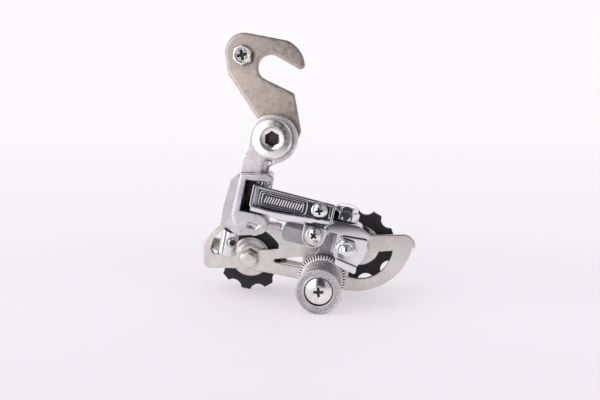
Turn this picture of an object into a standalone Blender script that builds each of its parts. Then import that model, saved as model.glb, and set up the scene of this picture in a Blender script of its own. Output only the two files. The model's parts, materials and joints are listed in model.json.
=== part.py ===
"""Rear bicycle derailleur on a claw hanger, built as an assembly of separate pieces.

Two drawing planes are used, both in millimetres:
- the side plane: X towards the front of the bicycle, Z up, Y inboard, with the origin on the
  hanger bolt's axis where it meets the claw's inboard face;
- the link plane: the same plane turned by LINK_TILT about Y, with its origin on the front outer
  link pin. Its X runs along the links and its Z runs up the four link pins.
Every mesh is drawn in one of these planes and then moved so that its origin lies on its joint axis.
"""

import math

import bmesh
import bpy
from mathutils import Matrix, Vector
from mathutils.geometry import tessellate_polygon

MM = 0.001
GAP = 0.15  # play between pieces that rest on one another
FIT = 0.25  # radial play round a pin or a screw

# Places in the side plane (x, z)
CLAW_SLOT = (-1.8, 31.0)
CLAW_BOLT = (-13.8, 36.3)
LINK_ORIGIN = (-5.2, -25.2)
LINK_TILT = math.radians(12.0)
CAGE_PIVOT = (21.5, -63.0)
GUIDE_AXLE = (38.5, -51.0)
TENSION_AXLE = (-14.0, -57.8)

# Depths of the main layers (y, negative is outboard)
CLAW_THICK, CLAW_PAD = 3.2, 0.4
ARM_FRONT, ARM_BACK = -10.0, -4.0
BRACKET_FRONT, BRACKET_BACK = -17.0, 2.2
OUTER_PIN_Y, INNER_PIN_Y = -10.5, -1.0
LINK_LIP, LINK_FLOOR, LINK_WEB_BACK, LINK_BEND, LINK_BACK = -18.6, -16.3, -14.8, -14.2, -9.2
ANCHOR_FRONT, ANCHOR_BACK = -18.0, -16.4
CASTING_FRONT, CASTING_BACK = -8.0, 2.0
CAGE_FRONT, PLATE_THICK = 6.5, 1.6
PULLEY_MID, PULLEY_HALF = 13.0, 3.1
CAGE_INNER = 2 * PULLEY_MID - CAGE_FRONT - PLATE_THICK

# Links and pins, in the link plane
LINK_LENGTH = 38.4
PIN_R = 2.0
LUG_R = 3.1
REAR_BOLT_R, REAR_HOLE_R = 2.35, 2.6

# Hanger bolt, slot and claw bolt
SLOT_R = 5.6
ARM_BOSS_R = 10.8
HANGER_BOLT_R, HANGER_THREAD_R, HANGER_HEAD_R = 5.0, 4.4, 8.8
CLAW_BOLT_R = 2.4

# Pulleys for half-inch chain
TEETH = 9
CHAIN_PITCH = 12.7
PITCH_R = CHAIN_PITCH / (2 * math.sin(math.pi / TEETH))
GULLET_R = 4.2
TIP_R = 16.9
AXLE_R, BUSH_R, PULLEY_BORE_R, CAP_R = 2.1, 3.4, 3.6, 9.6

# Spring drum on the cage pivot
DRUM_R, DRUM_FLANGE_R, DRUM_RING_R, DRUM_BORE_R = 8.8, 9.8, 10.9, 6.9
DRUM_TEETH, DRUM_TOOTH_DEPTH = 50, 1.3
DRUM_FRONT, DRUM_BACK = -28.0, -5.2
STUD_R = 4.0
END_SCREW_HEAD_R = 5.7

# The pin that stops the cage, its groove in the knuckle and the cage's travel
STOP_PIN_R, STOP_PIN_PATH_R = 1.0, 7.0
CAGE_TRAVEL = 100
STOP_MARGIN = 12  # degrees that the pin's half-width and its play take at each end

MATERIALS = {
    "zinc_steel": ((0.62, 0.57, 0.53), 0.38, 1.0),
    "bright_zinc": ((0.78, 0.78, 0.74), 0.25, 1.0),
    "cast_aluminium": ((0.68, 0.67, 0.69), 0.5, 1.0),
    "chrome": ((0.8, 0.8, 0.82), 0.08, 1.0),
    "cage_steel": ((0.74, 0.72, 0.67), 0.32, 1.0),
    "black_resin": ((0.03, 0.028, 0.035), 0.55, 0.0),
    "spring_steel": ((0.4, 0.4, 0.42), 0.35, 1.0),
}


# ---------------------------------------------------------------- outlines


def arc(centre, radius, start, end, steps):
    """Points from start to end, in degrees, on a circle in the drawing plane."""
    turn = math.radians(end - start) / steps
    first = math.radians(start)
    return [
        (centre[0] + radius * math.cos(first + i * turn), centre[1] + radius * math.sin(first + i * turn))
        for i in range(steps + 1)
    ]


def circle(centre, radius, steps=24):
    return arc(centre, radius, 0, 360 - 360 / steps, steps - 1)


def hexagon(centre, across_flats, turned_by=0.0):
    return arc(centre, across_flats / math.sqrt(3), turned_by, turned_by + 300, 5)


def rounded(corners, steps=5):
    """Turns corners (x, z, radius) into an outline, with an arc tangent to both sides at each radius."""
    outline = []
    for i, (x, z, radius) in enumerate(corners):
        here = Vector((x, z))
        if not radius:
            outline.append((x, z))
            continue
        before = (Vector(corners[i - 1][:2]) - here).normalized()
        after = (Vector(corners[(i + 1) % len(corners)][:2]) - here).normalized()
        half = before.angle(after) / 2
        centre = here + (before + after).normalized() * (radius / math.sin(half))
        first = here + before * (radius / math.tan(half)) - centre
        last = here + after * (radius / math.tan(half)) - centre
        start = math.degrees(math.atan2(first.y, first.x))
        sweep = (math.degrees(math.atan2(last.y, last.x)) - start + 180) % 360 - 180
        outline += arc(centre, radius, start, start + sweep, steps)
    return outline


def cross(centre, length, width, turned_by=0.0):
    """A Phillips cross."""
    a, b = length / 2, width / 2
    corners = [(a, b), (b, b), (b, a), (-b, a), (-b, b), (-a, b)]
    corners += [(-x, -z) for x, z in corners]
    c, s = math.cos(turned_by), math.sin(turned_by)
    return [(centre[0] + x * c - z * s, centre[1] + x * s + z * c) for x, z in corners]


def capsule(start, end, radius, steps=12):
    """A bar with two round ends."""
    along = math.degrees(math.atan2(end[1] - start[1], end[0] - start[0]))
    first = arc(start, radius, along + 90, along + 270, steps)
    return first + arc(end, radius, along - 90, along + 90, steps)


def toothed(radius, depth, teeth):
    """A ring of fine saw-like teeth."""
    step = 360 / teeth
    shape = ((0.0, depth), (0.3, 0.0), (0.7, 0.0))
    return [
        (r * math.cos(a), r * math.sin(a))
        for i in range(teeth)
        for r, a in ((radius - d, math.radians((i + part) * step)) for part, d in shape)
    ]


def pulley_outline(centre):
    """A chain gullet arc for each tooth, joined by short flat tips."""
    half = math.acos((PITCH_R**2 + TIP_R**2 - GULLET_R**2) / (2 * PITCH_R * TIP_R))
    reach = math.degrees(math.asin(TIP_R * math.sin(half) / GULLET_R))
    outline = []
    for tooth in range(TEETH):
        angle = 360 * tooth / TEETH
        at = math.radians(angle)
        gullet = (centre[0] + PITCH_R * math.cos(at), centre[1] + PITCH_R * math.sin(at))
        outline += arc(gullet, GULLET_R, angle + 180 + reach, angle + 180 - reach, 6)
    return outline


# ---------------------------------------------------------------- solids


def prism(outline, y0, y1, holes=()):
    """Extrudes an outline, with holes through it, from y0 to y1."""
    bm = bmesh.new()
    loops = [list(outline)] + [list(hole) for hole in holes]
    front = [bm.verts.new((x, y0, z)) for loop in loops for x, z in loop]
    back = [bm.verts.new((x, y1, z)) for loop in loops for x, z in loop]
    flat = [[Vector((x, z, 0)) for x, z in loop] for loop in loops]
    for triangle in tessellate_polygon(flat):
        bm.faces.new([front[i] for i in triangle])
        bm.faces.new([back[i] for i in reversed(triangle)])
    first = 0
    for loop in loops:
        for i in range(len(loop)):
            a, b = first + i, first + (i + 1) % len(loop)
            bm.faces.new((front[a], back[a], back[b], front[b]))
        first += len(loop)
    bmesh.ops.recalc_face_normals(bm, faces=bm.faces)
    return bm


def loft(*sections):
    """A solid through sections of (y, outline) whose outlines match point for point."""
    bm = bmesh.new()
    rings = [[bm.verts.new((x, y, z)) for x, z in outline] for y, outline in sections]
    for front, back in zip(rings, rings[1:]):
        for i in range(len(front)):
            bm.faces.new((front[i - 1], front[i], back[i], back[i - 1]))
    for ring in (rings[0], rings[-1]):
        for triangle in tessellate_polygon([[Vector((v.co.x, v.co.z, 0)) for v in ring]]):
            bm.faces.new([ring[i] for i in triangle])
    bmesh.ops.recalc_face_normals(bm, faces=bm.faces)
    bmesh.ops.triangulate(bm, faces=bm.faces)  # its sides may be twisted
    return bm


def turned(profile, centre=(0.0, 0.0), segments=24, axis="Y", ring=False):
    """Spins a profile of (radius, height) round an axis: Y at (x, z), or Z at (x, y). A ring has a bore."""
    bm = bmesh.new()
    rows = []
    for radius, height in profile:
        count = segments if radius > 1e-6 else 1
        row = []
        for i in range(count):
            a = 2 * math.pi * i / segments
            p, q = centre[0] + radius * math.cos(a), centre[1] + radius * math.sin(a)
            row.append(bm.verts.new((p, height, q) if axis == "Y" else (p, q, height)))
        rows.append(row)
    pairs = list(zip(rows, rows[1:]))
    if ring:
        pairs.append((rows[-1], rows[0]))
    for low, high in pairs:
        for i in range(segments):
            j = (i + 1) % segments
            quad = [low[i % len(low)], low[j % len(low)], high[j % len(high)], high[i % len(high)]]
            corners = list(dict.fromkeys(quad))
            if len(corners) > 2:
                bm.faces.new(corners)
    bmesh.ops.recalc_face_normals(bm, faces=bm.faces)
    return bm


def block(low, high):
    (x0, y0, z0), (x1, y1, z1) = low, high
    return prism([(x0, z0), (x1, z0), (x1, z1), (x0, z1)], y0, y1)


def wire(path, radius, sides=5):
    """Sweeps a round wire along a list of points."""
    bm = bmesh.new()
    points = [Vector(p) for p in path]
    last = len(points) - 1
    tangents = [(points[min(i + 1, last)] - points[max(i - 1, 0)]).normalized() for i in range(last + 1)]
    normal = tangents[0].orthogonal().normalized()
    rings = []
    for point, tangent in zip(points, tangents):
        normal = (normal - tangent * normal.dot(tangent)).normalized()
        side = tangent.cross(normal)
        turns = [2 * math.pi * k / sides for k in range(sides)]
        ring = [point + (normal * math.cos(t) + side * math.sin(t)) * radius for t in turns]
        rings.append([bm.verts.new(place) for place in ring])
    for low, high in zip(rings, rings[1:]):
        for k in range(sides):
            m = (k + 1) % sides
            bm.faces.new((low[k], low[m], high[m], high[k]))
    bm.faces.new(rings[0])
    bm.faces.new(rings[-1])
    bmesh.ops.recalc_face_normals(bm, faces=bm.faces)
    return bm


def helix(radius, low, high, turns, centre=(0.0, 0.0), axis="Z", start=0.0, steps=10):
    """Points of a coil between two heights on an axis."""
    path = []
    for i in range(int(turns * steps) + 1):
        a = start + 2 * math.pi * i / steps
        h = low + (high - low) * i / (turns * steps)
        p, q = centre[0] + radius * math.cos(a), centre[1] + radius * math.sin(a)
        path.append((p, q, h) if axis == "Z" else (p, h, q))
    return path


# ---------------------------------------------------------------- objects


def clear_scene():
    for obj in list(bpy.data.objects):
        bpy.data.objects.remove(obj)


def material(name):
    found = bpy.data.materials.get(name)
    if found:
        return found
    colour, roughness, metallic = MATERIALS[name]
    made = bpy.data.materials.new(name)
    made.use_nodes = True
    shader = made.node_tree.nodes["Principled BSDF"]
    shader.inputs["Base Color"].default_value = (*colour, 1)
    shader.inputs["Roughness"].default_value = roughness
    shader.inputs["Metallic"].default_value = metallic
    return made


class Axis:
    """An empty on a joint's axis. Its place is given in its drawing plane, as (x, y, z) in millimetres."""

    def __init__(self, name, place=(0.0, 0.0, 0.0), in_link_plane=False):
        self.place = Vector(place)
        plane = Matrix.Identity(4)
        if in_link_plane:
            at = Vector((LINK_ORIGIN[0], 0, LINK_ORIGIN[1]))
            plane = Matrix.Translation(at) @ Matrix.Rotation(LINK_TILT, 4, "Y")
        world = plane @ Matrix.Translation(self.place)
        world.translation *= MM
        self.empty = bpy.data.objects.new(name, None)
        self.empty.matrix_world = world
        bpy.context.scene.collection.objects.link(self.empty)


def solid(name, bm, axis, finish, smooth=True):
    """Makes an object from a mesh drawn in the axis's plane, with its origin on that axis."""
    bmesh.ops.translate(bm, verts=bm.verts, vec=-axis.place)
    bmesh.ops.scale(bm, verts=bm.verts, vec=(MM, MM, MM))
    mesh = bpy.data.meshes.new(name)
    bm.to_mesh(mesh)
    bm.free()
    mesh.materials.append(material(finish))
    if smooth:
        mesh.shade_smooth()
        mesh.set_sharp_from_angle(angle=math.radians(35))
    obj = bpy.data.objects.new(name, mesh)
    obj.parent = axis.empty
    bpy.context.scene.collection.objects.link(obj)
    return obj


def combine(obj, bm, axis, operation):
    """Joins a shape to an object, or cuts it away, with a Boolean whose helper isn't rendered."""
    index = len(obj.modifiers)
    helper = solid(f"{obj.name}_{operation.lower()}_{index}", bm, axis, "zinc_steel", smooth=False)
    helper.hide_render = True
    helper.display_type = "WIRE"
    modifier = obj.modifiers.new(f"{operation.lower()}_{index}", "BOOLEAN")
    modifier.operation = operation
    modifier.object = helper


def join(obj, bm, axis):
    combine(obj, bm, axis, "UNION")


def cut(obj, bm, axis):
    combine(obj, bm, axis, "DIFFERENCE")


# ---------------------------------------------------------------- hanger


def claw_hanger(axis):
    """The stamped claw: a hooked plate that holds the wheel axle, with a raised pad behind round the slot."""
    jaw_turn = -26  # direction of the slot's mouth
    upper = arc(CLAW_SLOT, SLOT_R, jaw_turn + 90, jaw_turn + 270, 16)
    outline = arc((0, 0), 10.2, -227, -8, 20)
    outline += [(11.7, 3.0), (11.0, 7.0)]
    outline += arc((7.1, 18.6), 1.8, 10, 50, 3)
    outline += upper[::-1]
    outline += arc((11.4, 32.2), 2.0, -100, 15, 6)
    outline += arc((0.6, 30.6), 13.0, 22, 66, 6)
    outline += arc((-13.4, 37.4), 8.7, 80, 180, 9)
    outline += arc((-14.9, 31.2), 6.4, 172, 212, 4)
    obj = solid(
        "claw_hanger",
        prism(
            outline,
            -CLAW_THICK,
            -CLAW_PAD,
            [circle((0, 0), HANGER_THREAD_R + GAP, 28), circle(CLAW_BOLT, CLAW_BOLT_R + FIT, 16)],
        ),
        axis,
        "zinc_steel",
    )
    pad = arc(CLAW_SLOT, SLOT_R + 0.4, 75, 235, 14) + arc(CLAW_SLOT, SLOT_R + 2.4, 235, 75, 14)
    join(obj, prism(pad, -1.0, 0), axis)


def phillips_screw(name, centre, head, shank_r, tip, axis, cross_size):
    """A turned screw along Y, with a Phillips cross. The head's profile runs from its front to its back."""
    front, back = head[0][1], head[-1][1]
    shank = [(shank_r, back), (shank_r, tip - 0.5), (shank_r - 0.5, tip), (0, tip)]
    obj = solid(name, turned(head + shank, centre, 24), axis, "bright_zinc")
    recess = cross(centre, *cross_size, math.radians(20))
    cut(obj, prism(recess, front - 1, front + 0.6 * (back - front)), axis)


def claw_fasteners(axis):
    back = -CLAW_THICK - GAP
    bolt = solid("claw_bolt", prism(hexagon(CLAW_BOLT, 8.0, 8), back - 3.0, back), axis, "bright_zinc")
    shank = [(0, back - 0.8), (CLAW_BOLT_R, back - 0.8), (CLAW_BOLT_R, 6.2), (0, 6.2)]
    join(bolt, turned(shank, CLAW_BOLT, 16), axis)
    cut(bolt, prism(cross(CLAW_BOLT, 4.6, 1.3, math.radians(20)), back - 4.0, back - 1.2), axis)
    x, z = CLAW_BOLT
    outline = [(x - 6.5, z - 4.3, 3), (x + 3.6, z - 4.3, 2), (x + 3.6, z + 4.3, 2), (x - 6.5, z + 4.3, 3)]
    nut = prism(rounded(outline), GAP - CLAW_PAD, 4.6, [circle(CLAW_BOLT, CLAW_BOLT_R + FIT, 16)])
    solid("claw_nut", nut, axis, "zinc_steel")


def hanger_bolt(axis):
    """The pivot bolt: a broad low head with a hex socket, a shoulder for the arm, a thread for the claw."""
    front = ARM_FRONT - GAP - 3.4
    shoulder_end = -CLAW_THICK - GAP
    obj = solid(
        "hanger_bolt",
        turned(
            [
                (0, front + 0.9),
                (4.4, front + 0.9),
                (4.8, front),
                (HANGER_HEAD_R - 0.9, front + 0.3),
                (HANGER_HEAD_R, front + 1.2),
                (HANGER_HEAD_R, ARM_FRONT - GAP),
                (HANGER_BOLT_R, ARM_FRONT - GAP),
                (HANGER_BOLT_R, shoulder_end),
                (HANGER_THREAD_R, shoulder_end),
                (HANGER_THREAD_R, 0),
                (0, 0),
            ],
            segments=32,
        ),
        axis,
        "bright_zinc",
    )
    cut(obj, prism(hexagon((0, 0), 6.0, 15), front - 1, front + 5.5), axis)


def hanger_washer(axis):
    washer = [(HANGER_BOLT_R + FIT, -CLAW_THICK - GAP), (8.0, -CLAW_THICK - GAP)]
    washer += [(8.0, ARM_BACK + GAP), (HANGER_BOLT_R + FIT, ARM_BACK + GAP)]
    solid("hanger_washer", turned(washer, ring=True, segments=28), axis, "spring_steel")


# ---------------------------------------------------------------- body


def bracket_outlines():
    """Front and back outlines of the cast bracket, in the side plane, point for point."""
    mouth = [(-2.0, -18.5), (-10.9, -17.5), (-13.8, -30.6), (-7.4, -31.7), (-4.4, -32.4)]
    top_right = arc((-0.9, -17.2), 2.2, -20, 90, 5)
    jaw = arc((-6.0, -36.9), 4.6, 48, -90, 8)
    bottom = [(-14.6, -41.9)]
    left = [(-17.4, -33.0), (-14.4, -19.4), (-13.3, -14.8)]
    front = top_right[::-1] + mouth + jaw + bottom + left
    back_top_right = arc((-3.3, -17.2), 2.2, -20, 90, 5)
    back_jaw = arc((-8.0, -36.9), 4.6, 48, -90, 8)
    back_left = [(-25.6, -33.2), (-21.6, -19.6), (-16.6, -15.4)]
    back = back_top_right[::-1] + mouth + back_jaw + [(-27.0, -41.2)] + back_left
    return front[::-1], back[::-1]


def body_bracket(axis, link_axis):
    """The cast body: an arm that hangs on the bolt, and a C-shaped bracket whose jaws hold two link pins."""
    front, back = bracket_outlines()
    obj = solid("body_bracket", loft((BRACKET_FRONT, front), (BRACKET_BACK, back)), axis, "cast_aluminium")
    arm = arc((0, 0), ARM_BOSS_R, -78, 172, 22)
    arm += [(-12.1, -4.4), (-14.2, -8.6), (-15.2, -13.6), (-15.0, -17.2), (-2.4, -16.4), (-1.9, -12.4)]
    join(obj, prism(arm, ARM_FRONT, ARM_BACK), axis)
    bore = HANGER_BOLT_R + FIT
    cut(obj, turned([(0, -30), (bore, -30), (bore, 10), (0, 10)], segments=28), axis)
    join(obj, block((-12.0, -6.0, -6.9), (-3.7, BRACKET_BACK - 0.2, 6.9)), link_axis)
    cut(obj, block((-2.5, BRACKET_FRONT - 1, -13.6), (1.2, BRACKET_FRONT + 0.6, -11.6)), link_axis)
    join(obj, block((2.0, -7.0, -13.8), (11.2, -2.6, -11.4)), link_axis)
    for y in (OUTER_PIN_Y, INNER_PIN_Y):
        hole = [(0, -20.0), (PIN_R + GAP, -20.0), (PIN_R + GAP, 16), (0, 16)]
        cut(obj, turned(hole, (0, y), 16, "Z"), link_axis)
    hole_r, top = CABLE_STOP_PIN_R + GAP, CABLE_STOP_PIN_TOP + GAP
    stop_hole = [(0, -24), (hole_r, -24), (hole_r, top), (0, top)]
    cut(obj, turned(stop_hole, CABLE_STOP, 16, "Z"), link_axis)


CABLE_STOP = (-11.2, -4.4)  # the swivel's axis in the link plane, as (x, y)
CABLE_STOP_TOP, CABLE_STOP_LOW, CABLE_STOP_R = -19.6, -31.2, 4.05
CABLE_STOP_PIN_R, CABLE_STOP_PIN_TOP = 1.6, -16.8
CABLE_HOLE_Z, CABLE_HOLE_TURN = -24.3, math.radians(30)


def body_pins(link_axis):
    for name, y, low in (("front_outer_pin", OUTER_PIN_Y, -18.0), ("front_inner_pin", INNER_PIN_Y, -15.0)):
        pin = [(0, low), (PIN_R - 0.4, low), (PIN_R, low + 0.4), (PIN_R, 9.6), (PIN_R - 0.4, 10.0), (0, 10.0)]
        solid(name, turned(pin, (0, y), 16, "Z"), link_axis, "bright_zinc")
    radius, top = CABLE_STOP_PIN_R, CABLE_STOP_PIN_TOP
    pin = [(0, -21.5), (radius, -21.5), (radius, top), (0, top)]
    solid("cable_stop_pin", turned(pin, CABLE_STOP, 16, "Z"), link_axis, "bright_zinc")


def return_spring(link_axis):
    """A torsion spring round the front outer pin. Its legs press on the bracket and on the outer link."""
    coil = helix(2.95, -1.9, 1.9, 4.0, (0, OUTER_PIN_Y), start=math.pi / 2)
    first, last = coil[0], coil[-1]
    legs_in = [(-3.0, first[1] + 0.25, first[2])]
    legs_out = [(7.5, last[1] - 0.6, last[2])]
    solid("return_spring", wire(legs_in + coil + legs_out, 0.45), link_axis, "spring_steel")


def along_hole(points):
    """Turns points drawn along -Y from the swivel's axis so that they follow the cable hole."""
    turn = Matrix.Rotation(CABLE_HOLE_TURN, 4, "Z")
    shift = Matrix.Translation((CABLE_STOP[0], CABLE_STOP[1], CABLE_HOLE_Z))
    bmesh.ops.transform(points, matrix=shift @ turn, verts=points.verts)
    return points


def cable_stop(axis):
    """A swivelling barrel whose cross hole takes the cable housing, with a ferrule where the wire leaves."""
    r, top, low = CABLE_STOP_R, CABLE_STOP_TOP, CABLE_STOP_LOW
    pocket, pocket_r = top - 2.4, CABLE_STOP_PIN_R + FIT
    shape = [(0, low), (r - 0.5, low), (r, low + 0.5), (r, top - 0.4), (r - 0.4, top)]
    shape += [(pocket_r, top), (pocket_r, pocket), (0, pocket)]
    obj = solid("cable_stop_barrel", turned(shape, CABLE_STOP, 28, "Z"), axis, "chrome")
    cut(obj, along_hole(turned([(0, -6), (2.4, -6), (2.4, 6), (0, 6)], segments=16)), axis)
    ferrule = [(0.9, -5.0), (1.7, -5.0), (2.2, -4.3), (2.2, -0.5), (0.9, -0.5)]
    solid("cable_ferrule", along_hole(turned(ferrule, segments=16, ring=True)), axis, "bright_zinc")


# ---------------------------------------------------------------- links


# The link's section at its lip, and how far its lower edge has dropped where its slanted front ends
LINK_SHAPE = ((-3.3, 5.7), (-3.3, -4.3), (4.6, -4.7), (8.5, -4.6), (13.0, -4.4), (21.0, -3.8))
LINK_SHAPE += ((33.2, -3.0), (33.2, 4.5))
LINK_DROP = (0.5, 1.9, 1.7, 2.7, 2.9, 2.5, 1.6, 0.5)
LINK_BACK_DROP = 1.1
SCREW_X, HIGH_SCREW_Z, LOW_SCREW_Z = 26.7, 0.5, -10.2
TAB, TAB_R, TAB_RIM = (26.6, -10.9), 4.9, 0.6
SCREW_HEAD_R, SCREW_R, SCREW_HOLE_R = 3.5, 1.8, 2.0
ANCHOR_BOLT = (41.4, -12.7)
FLANGE_TOP, FLANGE_LOW = -2.2, -4.4


def outer_link(axis):
    """The plated outer link: a trough over a slanted band in front, a pocket behind, two lugs at one pin and
    a flange at the other, turned down into the cable anchor's plate. A rimmed tab holds a limit screw."""
    bend = [(x, z - drop) for (x, z), drop in zip(LINK_SHAPE, LINK_DROP)]
    back = [(x, z - LINK_BACK_DROP if z > 0 else z) for x, z in bend]
    ends = (LINK_SHAPE[0][0], LINK_SHAPE[-1][0])
    sections = [
        (y, rounded([(x, z, 1.0 if x in ends else 0) for x, z in shape], 3))
        for y, shape in ((LINK_LIP, LINK_SHAPE), (LINK_BEND, bend), (LINK_BACK, back))
    ]
    obj = solid("outer_link", loft(*sections), axis, "chrome")
    tail = [(36.6, -7.5, 0), (36.6, -17.0, 3), (40.0, -20.8, 3), (47.0, -20.8, 3), (49.6, -14.5, 5)]
    tail += [(50.0, -5.4, 0), (44.4, -3.0, 0), (34.0, -3.0, 0), (31.0, -5.2, 0), (30.0, -7.6, 0)]
    tail = rounded(tail, 4)
    join(obj, prism(tail, ANCHOR_FRONT, ANCHOR_BACK), axis)
    tab = [(32.6, -6.5), (TAB[0] - TAB_R, -6.5)] + arc(TAB, TAB_R, 180, 360, 14)
    join(obj, prism(tab, LINK_LIP + 0.05, ANCHOR_BACK - 0.05), axis)
    join(obj, block((22.4, ANCHOR_FRONT + 1.1, -7.7), (31.0, -12.6, -5.2)), axis)
    room = arc(TAB, TAB_R - TAB_RIM, 180, 360, 14)
    room += [(TAB[0] + TAB_R - TAB_RIM, -6.2), (TAB[0] - TAB_R + TAB_RIM, -6.2)]
    cut(obj, prism(room, LINK_LIP - 1, ANCHOR_FRONT - 0.05), axis)
    flange = [(30.5, FLANGE_TOP), (44.6, FLANGE_TOP), (49.9, -4.6), (49.9, -6.6)]
    flange += [(44.0, FLANGE_LOW), (30.5, FLANGE_LOW)]
    join(obj, prism(flange, ANCHOR_FRONT + 0.1, -7.0), axis)
    for low, high in ((-6.15, -2.5), (2.5, 5.3)):
        join(obj, turned([(0, low), (LUG_R, low), (LUG_R, high), (0, high)], (0, OUTER_PIN_Y), 20, "Z"), axis)
    mouth = [(-2.0, 4.8), (-2.0, -3.7), (6.0, -4.2), (32.3, -2.5), (32.3, 3.6)]
    floor = [(-0.9, 4.1), (-0.9, -3.5), (6.0, -3.95), (31.3, -2.3), (31.3, 3.1)]
    cut(obj, loft((LINK_LIP - 0.01, mouth), (LINK_FLOOR, floor)), axis)
    pocket = [(3.6, -3.2), (31.5, -3.2), (31.5, 3.0), (3.6, 3.6)]
    cut(obj, prism(pocket, LINK_WEB_BACK, LINK_BACK + 1), axis)
    cut(obj, block((-5, LINK_WEB_BACK, -2.4), (4.2, LINK_BACK + 6, 2.4)), axis)
    seat = FLANGE_TOP - 0.1
    nut_room = [(0, -9), (REAR_HOLE_R, -9), (REAR_HOLE_R, seat), (6.5, seat), (6.5, 9), (0, 9)]
    cut(obj, turned(nut_room, (LINK_LENGTH, OUTER_PIN_Y), 28, "Z"), axis)
    pin_hole = [(0, -9), (PIN_R + GAP, -9), (PIN_R + GAP, 9), (0, 9)]
    cut(obj, turned(pin_hole, (0, OUTER_PIN_Y), 16, "Z"), axis)
    deep, seat = LINK_WEB_BACK + 1, LINK_FLOOR - 0.05
    head_room = [(0, -22), (SCREW_HEAD_R + FIT, -22), (SCREW_HEAD_R + FIT, seat), (SCREW_HOLE_R, seat)]
    head_room += [(SCREW_HOLE_R, deep), (0, deep)]
    cut(obj, turned(head_room, (SCREW_X, HIGH_SCREW_Z), 24), axis)
    for centre, radius in (((SCREW_X, LOW_SCREW_Z), SCREW_HOLE_R), (ANCHOR_BOLT, 2.5)):
        cut(obj, turned([(0, -22), (radius, -22), (radius, deep), (0, deep)], centre, 16), axis)


def pan_head(radius, front, back):
    crown = [(0, front), (radius * 0.55, front + 0.15), (radius * 0.88, front + 0.7)]
    return crown + [(radius, front + 1.3), (radius, back)]


def limit_screws(high_axis, low_axis):
    places = (
        ("high_limit_screw", high_axis, HIGH_SCREW_Z, LINK_FLOOR - GAP, -8.0),
        ("low_limit_screw", low_axis, LOW_SCREW_Z, ANCHOR_FRONT - GAP, -11.0),
    )
    for name, axis, z, back, tip in places:
        centre = (SCREW_X, z)
        front = back - 2.6
        phillips_screw(name, centre, pan_head(SCREW_HEAD_R, front, back), SCREW_R, tip, axis, (3.6, 0.95))


def cable_anchor(axis):
    """The gear cable's clamp: a bolt through the link's plate, a tabbed washer and a domed nut."""
    x, z = ANCHOR_BOLT
    back_head = [(0, ANCHOR_BACK + GAP), (3.3, ANCHOR_BACK + GAP), (3.3, -14.8), (0, -14.8)]
    bolt = solid("cable_anchor_bolt", turned(back_head, ANCHOR_BOLT, 20), axis, "bright_zinc")
    join(bolt, turned([(0, -23.2), (2.3, -23.2), (2.3, -15.5), (0, -15.5)], ANCHOR_BOLT, 16), axis)
    front = ANCHOR_FRONT - GAP
    shape = [(x - 3.2, z - 6.8, 1), (x + 5.6, z - 7.6, 1), (x + 8.2, z - 2.5, 5), (x + 8.3, z + 5.6, 1)]
    shape = rounded(shape + [(x - 4.6, z + 4.9, 3)])
    plate = prism(shape, front - 1.4, front, [circle(ANCHOR_BOLT, 2.5, 16)])
    washer = solid("cable_anchor_washer", plate, axis, "chrome")
    lip = [(x - 3.2, z - 7.8, 0.8), (x + 6.2, z - 9.9, 0.8), (x + 6.0, z - 6.6, 0), (x - 3.2, z - 5.0, 0)]
    join(washer, prism(rounded(lip, 3), front - 2.6, front - 0.2), axis)
    nut_back = front - 1.4 - GAP
    base = nut_back - 2.4
    nut = [(0, nut_back - 3.5), (2.45, nut_back - 3.5), (2.45, nut_back), (4.6, nut_back)]
    nut += [(4.6, nut_back - 2.0), (3.9, base)]
    nut += [(r, base - h) for r, h in ((3.8, 0.9), (3.2, 2.2), (2.0, 3.2), (0, 3.6))]
    solid("cable_anchor_nut", turned(nut, ANCHOR_BOLT, 28), axis, "chrome")


def inner_link(axis):
    plate = [(0, -5.8), (6.8, -5.8), (6.8, -9.2), (8.2, -10.8), (30.0, -10.8), (30.0, -6.8)]
    plate += [(LINK_LENGTH, -6.8), (LINK_LENGTH, 0.8), (12, 2.0), (0, 2.2)]
    obj = solid("inner_link", prism(plate, INNER_PIN_Y - 1.1, INNER_PIN_Y + 1.1), axis, "chrome")
    for x, low, high in ((0, -5.9, 6.1), (LINK_LENGTH, -6.9, 1.4)):
        join(obj, turned([(0, low), (LUG_R, low), (LUG_R, high), (0, high)], (x, INNER_PIN_Y), 20, "Z"), axis)
        bore = PIN_R + FIT
        cut(obj, turned([(0, -9), (bore, -9), (bore, 9), (0, 9)], (x, INNER_PIN_Y), 16, "Z"), axis)


# ---------------------------------------------------------------- knuckle


def to_link_plane(point):
    """A side-plane point, as (x, z), given in the link plane."""
    x, z = point[0] - LINK_ORIGIN[0], point[1] - LINK_ORIGIN[1]
    c, s = math.cos(LINK_TILT), math.sin(LINK_TILT)
    return (x * c - z * s, x * s + z * c)


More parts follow.
